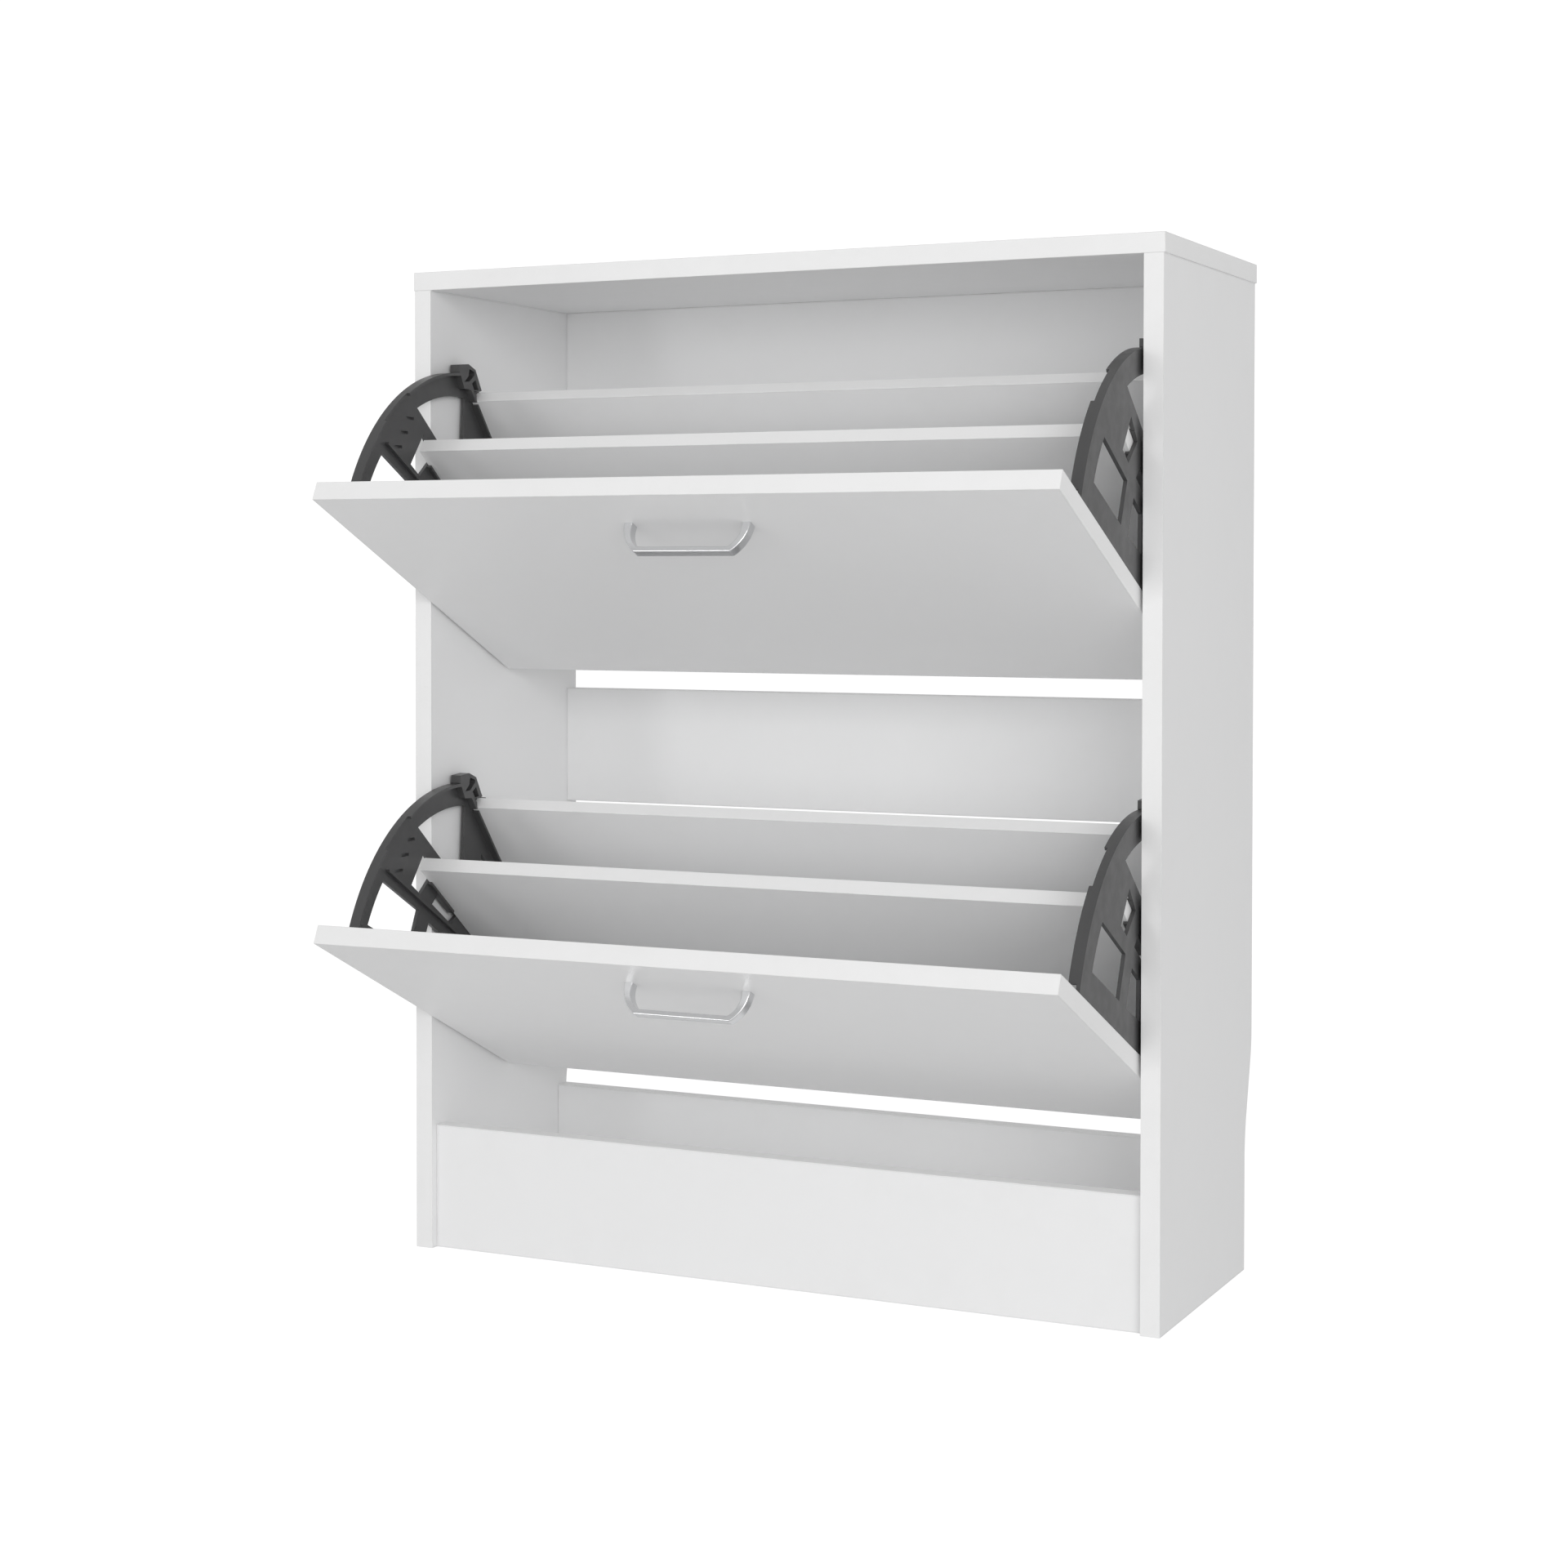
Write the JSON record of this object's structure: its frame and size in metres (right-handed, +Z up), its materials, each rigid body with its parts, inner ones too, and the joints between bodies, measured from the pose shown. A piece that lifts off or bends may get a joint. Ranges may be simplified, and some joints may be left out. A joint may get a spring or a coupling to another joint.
{
  "type": "shoe cabinet",
  "caption": "Low, shallow white cabinet whose fronts are tip-out flaps with bow handles, plastic side brackets and slanted dividers that hold shoes.",
  "frame": {"origin": "centre of the plinth board's underside, on the floor at the middle of the cabinet's width", "axes": "+X to the right seen from the front, +Y from the front to the back, +Z up"},
  "size_m": [0.632, 0.4271, 0.8],
  "materials": {
    "white_board": "smooth satin white melamine foil on particle board, edges banded",
    "black_plastic": "moulded, fine matt",
    "handle_metal": "satin chrome plated zinc",
    "screw_steel": "bright zinc plated",
    "cam_zinc": "die-cast zinc, dull",
    "bush_plastic": "moulded acetal",
    "dowel_beech": "fluted beech"
  },
  "bodies": {
    "carcass": {"side_panel_left": "white_board", "side_panel_right": "white_board", "top_panel": "white_board", "plinth_board": "white_board", "back_rail_upper": "white_board", "back_rail_middle": "white_board", "back_rail_lower": "white_board", "cam_discs": "cam_zinc", "cam_bolts": "screw_steel", "wooden_dowels": "dowel_beech", "pivot_bushes": "bush_plastic", "stop_pegs": "bush_plastic"},
    "upper_flap": {"upper_door": "white_board", "upper_bracket_left": "black_plastic", "upper_bracket_right": "black_plastic", "upper_middle_divider": "white_board", "upper_rear_divider": "white_board", "upper_toe_board": "white_board", "upper_handle": "handle_metal", "upper_handle_screws": "screw_steel", "upper_bracket_screws": "screw_steel", "upper_divider_screws": "screw_steel", "upper_pivot_pins": "screw_steel"},
    "lower_flap": {"lower_door": "white_board", "lower_bracket_left": "black_plastic", "lower_bracket_right": "black_plastic", "lower_middle_divider": "white_board", "lower_rear_divider": "white_board", "lower_toe_board": "white_board", "lower_handle": "handle_metal", "lower_handle_screws": "screw_steel", "lower_bracket_screws": "screw_steel", "lower_divider_screws": "screw_steel", "lower_pivot_pins": "screw_steel"}
  },
  "joints": [
    {"name": "upper_flap_tilt", "type": "hinge", "parent": "carcass", "child": "upper_flap", "pos_m": [0, 0.027, 0.5555], "axis": [-1, 0, 0], "range_deg": [0, 65.3]},
    {"name": "lower_flap_tilt", "type": "hinge", "parent": "carcass", "child": "lower_flap", "pos_m": [0, 0.027, 0.217], "axis": [-1, 0, 0], "range_deg": [0, 65.3]}
  ]
}
